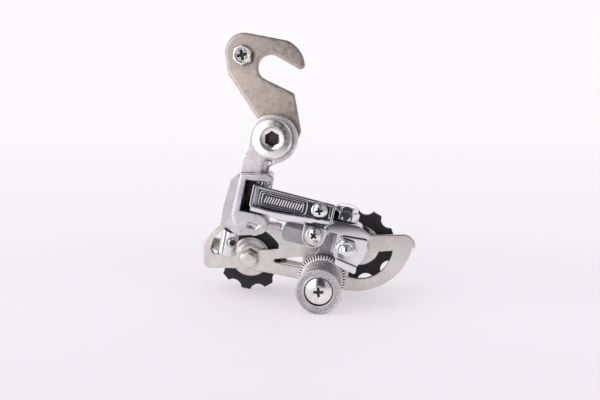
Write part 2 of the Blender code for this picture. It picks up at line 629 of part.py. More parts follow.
def knuckle_casting(axis):
    """The cast knuckle: a block under the links that takes both rear pins, and a boss for the cage pivot."""
    pivot = to_link_plane(CAGE_PIVOT)
    body = [(12.2, -17.9, 3), (44.0, -17.9, 2), (44.0, -7.4, 2), (34.4, -7.4, 0)]
    body = rounded(body + [(33.0, -11.2, 0), (12.2, -11.2, 1)], 4)
    obj = solid("knuckle_casting", prism(body, CASTING_FRONT, CASTING_BACK), axis, "cast_aluminium")
    neck = [(31.6, -15.0)] + arc(pivot, 9.2, 130, 350, 20) + [(44.0, -16.0)]
    join(obj, prism(neck, -4.8, CASTING_BACK - 0.1), axis)
    join(obj, prism(circle(pivot, 9.0, 32), -4.7, 6.0), axis)
    outer, inner = (LINK_LENGTH, OUTER_PIN_Y), (LINK_LENGTH, INNER_PIN_Y)
    join(obj, turned([(0, -17.2), (4.0, -17.2), (4.0, -7.6), (0, -7.6)], outer, 24, "Z"), axis)
    join(obj, block((34.4, OUTER_PIN_Y, -17.0), (42.4, -7.5, -7.7)), axis)
    join(obj, turned([(0, -17.2), (3.3, -17.2), (3.3, -7.6), (0, -7.6)], inner, 24, "Z"), axis)
    for pin, radius in ((outer, REAR_BOLT_R + GAP), (inner, PIN_R + GAP)):
        cut(obj, turned([(0, -16.6), (radius, -16.6), (radius, -5), (0, -5)], pin, 16, "Z"), axis)
    bore = STUD_R + FIT
    cut(obj, turned([(0, -9), (bore, -9), (bore, 9), (0, 9)], pivot, 28), axis)
    first = 180 + math.degrees(LINK_TILT) - STOP_MARGIN
    last = first + CAGE_TRAVEL + 2 * STOP_MARGIN
    half = STOP_PIN_R + FIT
    groove = arc(pivot, STOP_PIN_PATH_R + half, first, last, 14)
    groove += arc(pivot, STOP_PIN_PATH_R - half, last, first, 14)
    cut(obj, prism(groove, 2.7, 7.0), axis)


def rear_pins(axis):
    """The rear outer bolt with its lock nut, and the rear inner pin with a flat head."""
    rear = (LINK_LENGTH, OUTER_PIN_Y)
    nut_low, nut_high = FLANGE_TOP + GAP, 1.8
    profile = [(0, nut_low), (5.9, nut_low), (5.9, nut_high), (0, nut_high)]
    nut = solid("rear_lock_nut", turned(profile, rear, 6, "Z"), axis, "chrome", smooth=False)
    cut(nut, turned([(0, -9), (REAR_HOLE_R, -9), (REAR_HOLE_R, 9), (0, 9)], rear, 16, "Z"), axis)
    head_low = nut_high + GAP
    head = [(0, head_low), (5.0, head_low), (5.0, head_low + 1.9), (4.2, head_low + 2.6), (0, head_low + 3.0)]
    bolt = solid("rear_outer_bolt", turned(head, rear, 6, "Z"), axis, "chrome", smooth=False)
    shank = [(0, -16.3), (REAR_BOLT_R, -16.3), (REAR_BOLT_R, 3.0), (0, 3.0)]
    join(bolt, turned(shank, rear, 16, "Z"), axis)
    pin = [(0, -16.2), (PIN_R, -16.2), (PIN_R, 1.6), (3.2, 1.6), (3.2, 2.7), (0, 2.9)]
    solid("rear_inner_pin", turned(pin, (LINK_LENGTH, INNER_PIN_Y), 16, "Z"), axis, "bright_zinc")


def spring_drum(axis):
    """The alloy drum that winds the cage spring: a toothed ring behind, a plain flange in front."""
    front = DRUM_FRONT
    shape = [
        (3.0, front + 1.6),
        (END_SCREW_HEAD_R + 0.5, front + 1.6),
        (END_SCREW_HEAD_R + 0.5, front),
        (DRUM_FLANGE_R - 0.5, front),
        (DRUM_FLANGE_R, front + 0.5),
        (DRUM_FLANGE_R, front + 1.6),
        (DRUM_R, front + 2.1),
        (DRUM_R, DRUM_BACK),
        (DRUM_BORE_R, DRUM_BACK),
        (DRUM_BORE_R, front + 4.0),
        (3.0, front + 4.0),
    ]
    obj = solid("spring_drum", turned(shape, CAGE_PIVOT, 40, ring=True), axis, "cast_aluminium")
    x, z = CAGE_PIVOT
    teeth = [(x + dx, z + dz) for dx, dz in toothed(DRUM_RING_R, DRUM_TOOTH_DEPTH, DRUM_TEETH)]
    bore = circle(CAGE_PIVOT, DRUM_BORE_R + 0.6, 40)
    join(obj, prism(teeth, DRUM_BACK - 2.8, DRUM_BACK - 0.1, [bore]), axis)


# ---------------------------------------------------------------- cage


def cage_outer_plate(axis):
    """The outer cage plate: a hub for each pulley bolt, an arm and a chain guard round each pulley."""
    guide, tension = GUIDE_AXLE, TENSION_AXLE

    def from_tension(angle, radius):
        a = math.radians(angle)
        return (tension[0] + radius * math.cos(a), tension[1] + radius * math.sin(a))

    right_guard = arc((36.0, -44.8), 27.8, -98, -14, 20)
    tip = arc((58.9, -50.3), 5.4, -8, 95, 8)
    guide_hub = arc(guide, 6.4, 62, 150, 8)
    rim = [(42, 21.0), (54, 19.2), (66, 18.4), (80, 18.5), (95, 19.0)]
    rim += [(108, 20.2), (121, 21.3), (134, 22.2), (147, 22.7), (160, 23.2)]
    left_guard = [from_tension(a, r) for a, r in rim]
    heel = arc((-33.2, -59.6), 3.4, 165, 262, 7)
    tension_hub = arc(tension, 6.2, 235, 290, 6)
    outline = right_guard + tip + guide_hub + left_guard + heel + tension_hub + [(8.8, -67.2), (20.0, -70.8)]

    right_window = arc(guide, 15.5, -112, -6, 18) + [(46.5, -53.3)] + arc(guide, 6.4, -22, -105, 8)
    rim = [(27, 15.9), (40, 15.5), (54, 15.4), (68, 15.4), (82, 15.8)]
    rim += [(96, 16.4), (110, 17.2), (124, 18.2), (138, 19.0), (152, 19.6), (167, 19.4)]
    left_window = [from_tension(a, r) for a, r in rim]
    left_window += [(-31.2, -56.2)] + arc(tension, 6.2, 166, 40, 10) + [(0.2, -53.0)]
    gusset = rounded([(-6.9, -58.6, 0.8), (11.6, -61.7, 0.9), (11.6, -56.3, 0.9)], 4)
    holes = [
        right_window,
        left_window,
        gusset,
        circle(guide, AXLE_R + GAP, 16),
        circle(tension, AXLE_R + GAP, 16),
        circle(CAGE_PIVOT, 3.2, 20),
    ]
    plate = prism(outline, CAGE_FRONT, CAGE_FRONT + PLATE_THICK, holes)
    obj = solid("cage_outer_plate", plate, axis, "cage_steel")
    join(obj, block((-36.4, CAGE_FRONT + 0.1, -56.5), (-34.9, CAGE_INNER - 0.3, -50.0)), axis)


def cage_inner_plate(axis):
    """The inner cage plate: a bar that bows down between the pulley bolts, with a round end at each."""
    outline = arc(TENSION_AXLE, 7.2, 30, 260, 18) + [(6.0, -67.2), (19.0, -68.6), (25.5, -66.6)]
    outline += arc(GUIDE_AXLE, 7.2, -70, 170, 18)
    outline += [(24.5, -58.5), (18.0, -61.4), (10.0, -62.3), (3.5, -61.0)]
    holes = [circle(GUIDE_AXLE, AXLE_R + GAP, 16), circle(TENSION_AXLE, AXLE_R + GAP, 16)]
    plate = prism(outline, CAGE_INNER, CAGE_INNER + PLATE_THICK, holes)
    obj = solid("cage_inner_plate", plate, axis, "cage_steel")
    heel = capsule((-34.2, -53.6), (-20.0, -56.6), 3.2, 8)
    join(obj, prism(heel, CAGE_INNER + 0.1, CAGE_INNER + PLATE_THICK - 0.1), axis)


def cage_pivot(axis):
    """The stud riveted to the outer plate, the spring wound round it and the screw that closes the drum."""
    stud_front = DRUM_FRONT + 5.0
    plate_back = CAGE_FRONT + PLATE_THICK
    bore_end, shoulder = stud_front + 9, CAGE_FRONT - GAP
    stud = [(0, bore_end), (2.75, bore_end), (2.75, stud_front), (STUD_R, stud_front), (STUD_R, shoulder)]
    stud += [(3.05, shoulder), (3.05, plate_back + 0.5), (0, plate_back + 0.7)]
    solid("cage_pivot_stud", turned(stud, CAGE_PIVOT, 24), axis, "bright_zinc")
    head_front, head_back = DRUM_FRONT - 0.7, DRUM_FRONT + 1.6 - GAP
    head = pan_head(END_SCREW_HEAD_R, head_front, head_back)
    phillips_screw("cage_end_screw", CAGE_PIVOT, head, 2.5, stud_front + 7, axis, (5.2, 1.5))
    coil = helix(5.35, DRUM_FRONT + 5.6, DRUM_BACK - 1.0, 6.5, CAGE_PIVOT, axis="Y")
    solid("cage_spring", wire(coil, 0.7), axis, "spring_steel")


def cage_stop_pin(axis):
    """A pin on the cage that runs in the knuckle's groove. The groove's ends stop the cage."""
    place = (CAGE_PIVOT[0] - STOP_PIN_PATH_R, CAGE_PIVOT[1])
    back = CAGE_FRONT - GAP
    pin = turned([(0, 3.1), (STOP_PIN_R, 3.1), (STOP_PIN_R, back), (0, back)], place, 16)
    solid("cage_stop_pin", pin, axis, "bright_zinc")


def pulley_set(label, centre, cage_axis, pulley_axis):
    """A toothed pulley on its bush, between two dust caps, on a bolt through the cage plates."""
    low, high = PULLEY_MID - PULLEY_HALF, PULLEY_MID + PULLEY_HALF
    hub = [(PULLEY_BORE_R, low), (8.7, low), (8.7, high), (PULLEY_BORE_R, high)]
    pulley = solid(f"{label}_pulley", turned(hub, centre, 28, ring=True), pulley_axis, "black_resin")
    teeth = prism(pulley_outline(centre), PULLEY_MID - 1.5, PULLEY_MID + 1.5, [circle(centre, 8.2, 28)])
    join(pulley, teeth, pulley_axis)
    bore = AXLE_R + FIT
    bush = [(bore, low), (BUSH_R, low), (BUSH_R, high), (bore, high)]
    solid(f"{label}_bush", turned(bush, centre, 20, ring=True), cage_axis, "bright_zinc")
    outer, inner = CAGE_FRONT + PLATE_THICK + GAP, low - GAP
    for side, a, b in (("outer", outer, inner), ("inner", 2 * PULLEY_MID - outer, 2 * PULLEY_MID - inner)):
        rim = a + (b - a) * 0.55
        cap = [(bore, a), (6.6, a), (CAP_R - 0.7, a + (b - a) * 0.3), (CAP_R, rim), (CAP_R, b), (bore, b)]
        solid(f"{label}_cap_{side}", turned(cap, centre, 32, ring=True), cage_axis, "cage_steel")
    back = CAGE_FRONT - GAP
    head = [(0, back - 3.6), (3.9, back - 3.6), (4.6, back - 3.0), (4.6, back), (0, back)]
    bolt = solid(f"{label}_bolt", turned(head, centre, 6), cage_axis, "bright_zinc", smooth=False)
    end = CAGE_INNER + PLATE_THICK + 1.2
    join(bolt, turned([(0, back - 1), (AXLE_R, back - 1), (AXLE_R, end), (0, end)], centre, 16), cage_axis)


# ---------------------------------------------------------------- assembly


def build():
    clear_scene()
    hanger = Axis("hanger_origin")
    claw_hanger(hanger)
    claw_fasteners(hanger)
    hanger_bolt(hanger)
    hanger_washer(hanger)

    body = Axis("mount_axis")
    body_links = Axis("body_link_plane", in_link_plane=True)
    body_bracket(body, body_links)
    body_pins(body_links)
    return_spring(body_links)
    cable_stop(Axis("cable_stop_axis", (CABLE_STOP[0], CABLE_STOP[1], CABLE_HOLE_Z), in_link_plane=True))

    outer = Axis("outer_link_axis", (0, OUTER_PIN_Y, 0), in_link_plane=True)
    outer_link(outer)
    cable_anchor(outer)
    high = Axis("high_screw_axis", (SCREW_X, LINK_FLOOR, HIGH_SCREW_Z), in_link_plane=True)
    low = Axis("low_screw_axis", (SCREW_X, ANCHOR_FRONT, LOW_SCREW_Z), in_link_plane=True)
    limit_screws(high, low)
    inner_link(Axis("inner_link_axis", (0, INNER_PIN_Y, 0), in_link_plane=True))

    knuckle = Axis("knuckle_axis", (LINK_LENGTH, OUTER_PIN_Y, 0), in_link_plane=True)
    knuckle_casting(knuckle)
    rear_pins(knuckle)

    cage = Axis("cage_axis", (CAGE_PIVOT[0], 0, CAGE_PIVOT[1]))
    spring_drum(cage)
    cage_outer_plate(cage)
    cage_inner_plate(cage)
    cage_pivot(cage)
    cage_stop_pin(cage)
    for label, centre in (("guide", GUIDE_AXLE), ("tension", TENSION_AXLE)):
        pulley_set(label, centre, cage, Axis(f"{label}_axis", (centre[0], PULLEY_MID, centre[1])))


build()
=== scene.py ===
"""Looks of a rear bicycle derailleur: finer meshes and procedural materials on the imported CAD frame.

Shapes are drawn in millimetres and placed by the CAD nodes' boxes and by the joints. Three frames are used:
- a turned piece that faces outboard has its own axis along local Z, from its seat towards the viewer;
- the link frame has its origin on the front outer link pin, X along the links, Y inboard and Z up the pins;
- everything else stays in the row frame: X forward, Y inboard, Z up.
"""

import json
import math

import bmesh
import bpy
from mathutils import Matrix, Vector


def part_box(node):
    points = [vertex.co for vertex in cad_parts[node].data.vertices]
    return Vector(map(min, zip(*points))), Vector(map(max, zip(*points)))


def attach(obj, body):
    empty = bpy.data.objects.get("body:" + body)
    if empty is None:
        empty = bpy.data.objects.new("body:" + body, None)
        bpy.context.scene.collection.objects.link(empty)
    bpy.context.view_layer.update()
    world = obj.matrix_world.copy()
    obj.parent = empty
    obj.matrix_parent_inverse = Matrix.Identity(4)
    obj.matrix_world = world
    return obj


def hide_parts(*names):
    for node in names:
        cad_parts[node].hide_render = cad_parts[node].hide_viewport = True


MM = 0.001
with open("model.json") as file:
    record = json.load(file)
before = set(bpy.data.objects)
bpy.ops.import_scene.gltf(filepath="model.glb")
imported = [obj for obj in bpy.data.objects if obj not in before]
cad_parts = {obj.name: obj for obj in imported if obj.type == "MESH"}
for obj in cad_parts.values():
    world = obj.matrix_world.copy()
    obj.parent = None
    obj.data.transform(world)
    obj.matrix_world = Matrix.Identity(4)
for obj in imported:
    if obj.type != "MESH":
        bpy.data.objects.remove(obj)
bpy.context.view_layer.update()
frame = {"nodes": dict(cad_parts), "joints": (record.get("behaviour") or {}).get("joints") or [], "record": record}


# ---------------------------------------------------------------- places


def mid(node):
    low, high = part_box(node)
    return (low + high) / 2 / MM


def low_high(node):
    low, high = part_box(node)
    return low / MM, high / MM


def joint(name):
    return next(j for j in frame["joints"] if j["name"] == name)


def link_matrix():
    """The link frame, from the joints at the ends of the outer link."""
    origin = Vector(joint("link_swing")["pos_m"])
    along = (Vector(joint("knuckle_swing")["pos_m"]) - origin).normalized()
    up = Vector(joint("link_swing")["axis"]).normalized()
    inboard = up.cross(along)
    turn = Matrix((along, inboard, up)).transposed().to_4x4()
    return Matrix.Translation(origin / MM) @ turn


LINK = link_matrix()
DRUM_R, DRUM_FLANGE_R = 8.8, 9.8  # mm, the spring drum's barrel and its front flange
TROUGH_Y = -16.3  # mm, the floor of the outer link's trough
OUTBOARD = Matrix.Rotation(math.radians(90), 4, "X")  # local Z points outboard and local Y points up


def facing_out(x, y, z):
    return Matrix.Translation((x, y, z)) @ OUTBOARD


def on_link(x, y, z):
    return LINK @ Matrix.Translation((x, y, z))


# ---------------------------------------------------------------- node trees


class Graph:
    """Short calls for building a node tree. A value may be a number, a tuple or another node's socket."""

    def __init__(self, tree):
        self.tree = tree
        tree.nodes.clear()

    def put(self, socket, value):
        if isinstance(value, bpy.types.NodeSocket):
            self.tree.links.new(value, socket)
        elif isinstance(value, tuple) and len(value) == 3 and socket.type == "RGBA":
            socket.default_value = (*value, 1)
        else:
            socket.default_value = value

    def node(self, kind, inputs=None, **settings):
        made = self.tree.nodes.new("ShaderNode" + kind)
        for key, value in settings.items():
            setattr(made, key, value)
        for key, value in (inputs or {}).items():
            self.put(made.inputs[key], value)
        return made

    def math(self, operation, a, b=0.0):
        return self.node("Math", {0: a, 1: b}, operation=operation).outputs[0]

    def vector(self, operation, a, b=(0.0, 0.0, 0.0)):
        made = self.node("VectorMath", {0: a, 1: b}, operation=operation)
        return made.outputs["Value"] if operation in ("DOT_PRODUCT", "LENGTH") else made.outputs[0]

    def step(self, value, low, high, to_low=0.0, to_high=1.0):
        inputs = {"Value": value, "From Min": low, "From Max": high, "To Min": to_low, "To Max": to_high}
        return self.node("MapRange", inputs, interpolation_type="SMOOTHSTEP").outputs[0]

    def mix(self, factor, a, b):
        made = self.node("Mix", data_type="RGBA")
        self.put(made.inputs[0], factor)
        self.put(made.inputs[6], a)
        self.put(made.inputs[7], b)
        return made.outputs[2]

    def noise(self, where, scale, detail=3.0, roughness=0.55):
        inputs = {"Vector": where, "Scale": scale, "Detail": detail, "Roughness": roughness}
        return self.node("TexNoise", inputs).outputs[0]


EDGE_BAND = 0.35  # mm, how far in from an edge the lighter edge reaches, which is partly wear and partly painted highlight
STIPPLE_ROUND, STIPPLE_OUT = 2.4, 0.9  # noise cells to a mm, round the stippled band and across it


def new_material(name):
    made = bpy.data.materials.new(name)
    made.use_nodes = True
    return made, Graph(made.node_tree)


def scaled(colour, by):
    return tuple(c * by for c in colour)


def metal(name, colour, rough, blotch=0.08, grain=0.0, grain_size=0.25, scratch=0.15, edge_light=0.25,
          roll=0.0, stain=None, grooves=None, reach=3.0, upper_shading=None, stipple=None):
    """A metal with cloudy tone, uneven roughness, fine scratches, a grain and lighter edges, which are partly wear
    and partly a painted highlight.

    grain is a depth in mm; roll rounds the shaded edges by so many mm; stain is a colour that gathers in
    patches; grooves is (spacing, depth) in mm of turned rings round local Z; hollows narrower than reach mm
    get painted shade, darkened almost to black; upper_shading is (height, colour) for the part above a local
    height in mm, whose colour paints how light falls there; stipple is the (inner, outer) radius in mm of a
    band of short dark marks round local Z."""
    made, g = new_material(name)
    spot = g.vector("SCALE", g.node("TexCoord").outputs["Object"])
    spot.node.inputs["Scale"].default_value = 1 / MM
    cloud = g.noise(spot, 0.16, 4.0)
    patch = g.noise(spot, 0.5, 3.0, 0.5)
    fine = g.noise(spot, 1 / grain_size, 2.0)
    # painted light and shade: the part above a local height gets its own colour, lighter where light falls (the
    # bracket's arm) and darker where shade falls (the claw's top, the drum's front face)
    if upper_shading:
        level, upper_shading_colour = upper_shading
        above = g.step(g.node("SeparateXYZ", {0: spot}).outputs[2], level - 1.0, level + 0.5)
        colour_here = g.mix(above, colour, upper_shading_colour)
    shade = g.math("MULTIPLY_ADD", g.step(cloud, 0.3, 0.7, -1.0, 1.0), blotch)
    shade.node.inputs[2].default_value = 1.0
    patchy = g.step(patch, 0.35, 0.65, 0.0, 0.5)
    tone = g.mix(patchy, scaled(colour, 1 - blotch), scaled(colour, 1 + blotch))
    if upper_shading:
        tone = g.mix(g.math("MULTIPLY", above, 0.8), tone, colour_here)
    tone = g.vector("SCALE", tone)
    g.put(tone.node.inputs["Scale"], shade)
    if stain:
        marks = g.math("MULTIPLY", g.step(cloud, 0.5, 0.68), g.step(patch, 0.42, 0.62))
        tone = g.mix(g.math("MULTIPLY", marks, 0.55), tone, stain)
    lines = g.noise(g.vector("MULTIPLY", spot, (0.35, 7.0, 5.0)), 1.0, 2.0)
    lines = g.step(lines, 0.6, 0.75)
    soft = g.node("Bevel", {"Radius": max(roll, EDGE_BAND) * MM}, samples=6).outputs[0]
    true = g.node("NewGeometry").outputs["Normal"]
    # lighter edges: partly wear, partly a painted highlight along every edge; edge_light sets how much lighter
    lighter_edge = g.step(g.vector("DOT_PRODUCT", soft, true), 0.995, 0.9, 0.0, edge_light)
    tone = g.mix(g.math("MULTIPLY", lighter_edge, g.step(patch, 0.3, 0.6)), tone, scaled(colour, 1.3))
    uneven = g.step(patch, 0.3, 0.7, rough * 0.85, rough * 1.2)
    roughness = g.math("ADD", uneven, g.math("MULTIPLY", lines, scratch * 0.3))
    height = g.math("MULTIPLY", fine, grain)
    flat = g.vector("MULTIPLY", spot, (1.0, 1.0, 0.0))
    if stipple:
        inner, outer = (radius * STIPPLE_OUT for radius in stipple)
        x, y = g.node("SeparateXYZ", {0: flat}).outputs[:2]
        round_it = g.math("MULTIPLY", g.math("ARCTAN2", y, x), sum(stipple) / 2 * STIPPLE_ROUND)
        out = g.math("MULTIPLY", g.vector("LENGTH", flat), STIPPLE_OUT)
        marks = g.noise(g.node("CombineXYZ", {0: round_it, 1: out}).outputs[0], 1.0, 1.0)
        front = g.step(g.node("SeparateXYZ", {0: spot}).outputs[2], -0.6, -0.4)
        band = g.math("MULTIPLY", g.step(out, inner, inner + 0.2), g.step(out, outer, outer - 0.2))
        marks = g.math("MULTIPLY", g.math("MULTIPLY", g.step(marks, 0.45, 0.6), front), band)
        tone = g.mix(g.math("MULTIPLY", marks, 0.6), tone, scaled(colour, 0.3))
        height = g.math("SUBTRACT", height, g.math("MULTIPLY", marks, 0.08))
    if grooves:
        spacing, depth = grooves
        ring = g.math("SINE", g.math("MULTIPLY", g.vector("LENGTH", flat), 2 * math.pi / spacing))
        height = g.math("ADD", height, g.math("MULTIPLY", ring, depth))
    height = g.math("SUBTRACT", height, g.math("MULTIPLY", lines, scratch * 0.02))
    bump = g.node("Bump", {"Height": height, "Strength": 1.0, "Distance": MM})
    if roll:
        g.put(bump.inputs["Normal"], soft)
    # painted shade: faces in hollows narrower than reach mm are darkened almost to black, standing in for the
    # shade that falls in them
    hollow = g.node("AmbientOcclusion", {"Distance": reach * MM}, samples=6).outputs["AO"]
    tone = g.mix(g.step(hollow, 0.0, 0.85, 0.85, 0.0), tone, scaled(colour, 0.06))
    inputs = {"Base Color": tone, "Metallic": 1.0, "Roughness": roughness, "Normal": bump.outputs[0]}
    g.node("OutputMaterial", {"Surface": g.node("BsdfPrincipled", inputs).outputs[0]})
    made.diffuse_color = (*colour, 1)
    return made


def resin(name):
    """Moulded black resin: a faint sheen, a mould grain, greyer rubbed edges and a ring round local Y."""
    made, g = new_material(name)
    spot = g.vector("SCALE", g.node("TexCoord").outputs["Object"])
    spot.node.inputs["Scale"].default_value = 1 / MM
    cloud = g.noise(spot, 0.5, 4.0)
    fine = g.noise(spot, 5.0, 2.0)
    soft = g.node("Bevel", {"Radius": 0.3 * MM}, samples=6).outputs[0]
    true = g.node("NewGeometry").outputs["Normal"]
    lighter_edge = g.step(g.vector("DOT_PRODUCT", soft, true), 0.99, 0.85, 0.0, 0.5)
    tone = g.mix(cloud, (0.009, 0.007, 0.010), (0.020, 0.017, 0.022))
    tone = g.mix(g.math("MULTIPLY", lighter_edge, g.step(cloud, 0.4, 0.7)), tone, (0.12, 0.11, 0.125))
    radius = g.vector("LENGTH", g.vector("MULTIPLY", spot, (1.0, 0.0, 1.0)))
    ring_inner, ring_outer, slope = 11.6, 12.6, 0.3
    lip = g.step(radius, ring_inner, ring_inner + slope)
    lip = g.math("MULTIPLY", lip, g.step(radius, ring_outer, ring_outer - slope))
    height = g.math("ADD", g.math("MULTIPLY", fine, 0.02), g.math("MULTIPLY", lip, 0.25))
    bump = g.node("Bump", {"Height": height, "Strength": 1.0, "Distance": MM})
    inputs = {"Base Color": tone, "Roughness": g.step(cloud, 0.3, 0.7, 0.42, 0.6), "Normal": bump.outputs[0]}
    g.node("OutputMaterial", {"Surface": g.node("BsdfPrincipled", inputs).outputs[0]})
    made.diffuse_color = (0.03, 0.03, 0.03, 1)
    return made


# the claw's top part is painted darker, a painted shade
ZINC = metal("zinc_steel", (0.69, 0.60, 0.53), 0.32, scratch=0.0, grain=0.01, roll=2.0,
             stain=(0.50, 0.34, 0.24), upper_shading=(12.0, (0.54, 0.48, 0.43)))
BRIGHT = metal("bright_zinc", (0.88, 0.87, 0.84), 0.15, scratch=0.03, grain=0.004, roll=0.2)
TURNED = metal("turned_zinc", (0.97, 0.95, 0.92), 0.26, scratch=0.0, grooves=(0.35, 0.002))
# the bracket's top part, its arm, is painted lighter, a painted highlight
CAST = metal("cast_aluminium", (0.72, 0.70, 0.71), 0.30, scratch=0.0, grain=0.04, grain_size=0.35,
             roll=0.9, reach=6.0, upper_shading=(0.0, (0.98, 0.92, 0.92)))
SANDED = metal("sanded_aluminium", (0.46, 0.45, 0.45), 0.36, blotch=0.1, scratch=0.0, grain=0.06,
               grain_size=0.3, roll=0.6)
# painted light and shade: the drum's barrel is lighter than its front face
STIPPLED = metal("stippled_aluminium", (0.88, 0.86, 0.86), 0.30, scratch=0.0, grain=0.05, roll=0.3,
                 upper_shading=(-1.2, (0.54, 0.53, 0.53)), stipple=(6.8, 9.0))
CHROME = metal("chrome", (0.84, 0.84, 0.85), 0.05, blotch=0.03, scratch=0.02, edge_light=0.1, roll=0.45)
# the cage plates' strongly lighter edges are mostly a painted highlight
CAGE = metal("cage_steel", (0.76, 0.73, 0.68), 0.25, blotch=0.06, scratch=0.0, grain=0.003,
             edge_light=0.7, roll=1.0)
CAP = metal("cap_steel", (0.80, 0.77, 0.74), 0.33, scratch=0.0, grain=0.006, grooves=(0.8, 0.003))
SPRING = metal("spring_steel", (0.42, 0.42, 0.44), 0.28, scratch=0.3)
# painted shade: an almost black steel for the faces deep in recesses, sockets, bores and hollows, where shade
# falls
RECESS_SHADE = metal("painted_recess_shade", (0.10, 0.09, 0.08), 0.45, blotch=0.2, grain=0.02)
RESIN = resin("black_resin")


# ---------------------------------------------------------------- pieces


def piece(name, bm, place, finish, body, nodes, sharp=38):
    """Makes an object from a mesh in millimetres, smooth except at edges sharper than an angle, on a body."""
    bmesh.ops.scale(bm, verts=bm.verts, vec=(MM, MM, MM))
    mesh = bpy.data.meshes.new(name)
    bm.to_mesh(mesh)
    bm.free()
    mesh.shade_smooth()
    mesh.set_sharp_from_angle(angle=math.radians(sharp))
    mesh.materials.append(finish)
    mesh.materials.append(RECESS_SHADE)  # painted shade for the faces deep in a driving recess, a socket, a bore and a hollow, if there are any
    obj = bpy.data.objects.new(name, mesh)
    bpy.context.scene.collection.objects.link(obj)
    matrix = place.copy()
    matrix.translation *= MM
    obj.matrix_world = matrix
    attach(obj, body)
    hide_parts(*nodes)
    return obj


def body_name(node):
    bodies = frame["record"]["behaviour"]["bodies"]
    return next(b for b, members in bodies.items() if node in members)


def copy_of(node, place):
    """A CAD node's mesh in millimetres in a local frame, with its flat areas made whole again."""
    bm = bmesh.new()
    bm.from_mesh(frame["nodes"][node].data)
    matrix = place.copy()
    bmesh.ops.scale(bm, verts=bm.verts, vec=(1 / MM,) * 3)
    bmesh.ops.transform(bm, matrix=matrix.inverted(), verts=bm.verts)
    bmesh.ops.remove_doubles(bm, verts=bm.verts, dist=0.01)
    bmesh.ops.dissolve_limit(bm, angle_limit=math.radians(0.6), verts=bm.verts, edges=bm.edges)
    return bm


def refined(node, finish, width, place=None, reshape=None, clamp=True):
    """A CAD node with its edges rounded, after an optional change to its mesh."""
    place = place or Matrix.Translation(mid(node))
    bm = copy_of(node, place)
    if reshape:
        reshape(bm)
    obj = piece(node + "_fine", bm, place, finish, body_name(node), [node])
    bevel = obj.modifiers.new("edges", "BEVEL")
    bevel.width = width * MM
    bevel.segments = 3
    bevel.limit_method = "ANGLE"
    bevel.angle_limit = math.radians(30)
    bevel.miter_outer = "MITER_ARC"
    bevel.use_clamp_overlap = clamp
    bevel.harden_normals = False
    weighted = obj.modifiers.new("normals", "WEIGHTED_NORMAL")
    weighted.keep_sharp = True


def turned(rows, segments=72, ring=False):
    """Spins rows of (radius, height) round local Z. A third number is a hexagon's width across flats. It
    limits the radius, so a round chamfer and a hexagon share a profile. A ring is closed through its bore."""
    bm = bmesh.new()
    made = []
    for radius, height, *flats in rows:
        if radius < 1e-6:
            made.append([bm.verts.new((0, 0, height))])
            continue
        row = []
        for i in range(segments):
            t = 2 * math.pi * i / segments
            r = radius
            if flats:
                off = (t + math.pi / 6) % (math.pi / 3) - math.pi / 6
                r = min(radius, flats[0] / 2 / math.cos(off))
            row.append(bm.verts.new((r * math.cos(t), r * math.sin(t), height)))
        made.append(row)
    if ring:
        made.append(made[0])
    for low, high in zip(made, made[1:]):
        for i in range(segments):
            j = (i + 1) % segments
            quad = [low[i % len(low)], low[j % len(low)], high[j % len(high)], high[i % len(high)]]
            corners = list(dict.fromkeys(quad))
            if len(corners) > 2:
                bm.faces.new(corners)
    bmesh.ops.recalc_face_normals(bm, faces=bm.faces)
    return bm


def soften(profile, radius, steps=4):
    """Rounds the inner corners of a profile of (radius, height) points."""
    points = [Vector(p[:2]) for p in profile]
    out = [profile[0]]
    for before, here, after in zip(points, points[1:], points[2:]):
        to_before, to_after = before - here, after - here
        reach = min(radius, to_before.length * 0.45, to_after.length * 0.45)
        a, b = here + to_before.normalized() * reach, here + to_after.normalized() * reach
        for i in range(steps + 1):
            t = i / steps
            p = a * (1 - t) ** 2 + here * 2 * t * (1 - t) + b * t * t
            out.append((p.x, p.y))
    out.append(profile[-1])
    return out


def smooth_step(x, low, high):
    t = min(1.0, max(0.0, (x - low) / (high - low)))
    return t * t * (3 - 2 * t)


def sink_cross(bm, length, width, depth, turned_by, above):
    """Presses a Phillips recess into the vertices of a fine turned head that lie above a height, and paints shade
    on its sunk faces with the dark recess material.
    """
    c, s = math.cos(turned_by), math.sin(turned_by)
    sunk = set()
    for v in bm.verts:
        if v.co.z < above:
            continue
        x, y = v.co.x * c + v.co.y * s, -v.co.x * s + v.co.y * c
        a, b = max(abs(x), abs(y)), min(abs(x), abs(y))
        inside = 1 - smooth_step(b, width * 0.4, width * 0.58)
        inside *= 1 - smooth_step(a, length * 0.42, length * 0.52)
        fillet = 1 - smooth_step(a + b, width * 0.8, width * 1.3)
        slope = 0.5 + 0.5 * (1 - min(1.0, a / (length / 2)))
        v.co.z -= depth * max(inside * slope, fillet)
        if max(inside, fillet) > 0.4:
            sunk.add(v)
    # painted shade: the sunk faces get the dark recess material
    for face in bm.faces:
        if all(v in sunk for v in face.verts):
            face.material_index = 1


def dome(radius, crown, power=2.2, rings=34):
    """Rows of a domed head from its centre out, with its rim at height 0."""
    return [(radius * i / rings, crown * (1 - (i / rings) ** power)) for i in range(rings + 1)]


def own(name, bm, place, finish, node, sharp=38):
    """A new piece that stands for one CAD node."""
    return piece(name, bm, place, finish, body_name(node), [node], sharp)


# ---------------------------------------------------------------- turned and hexagonal pieces


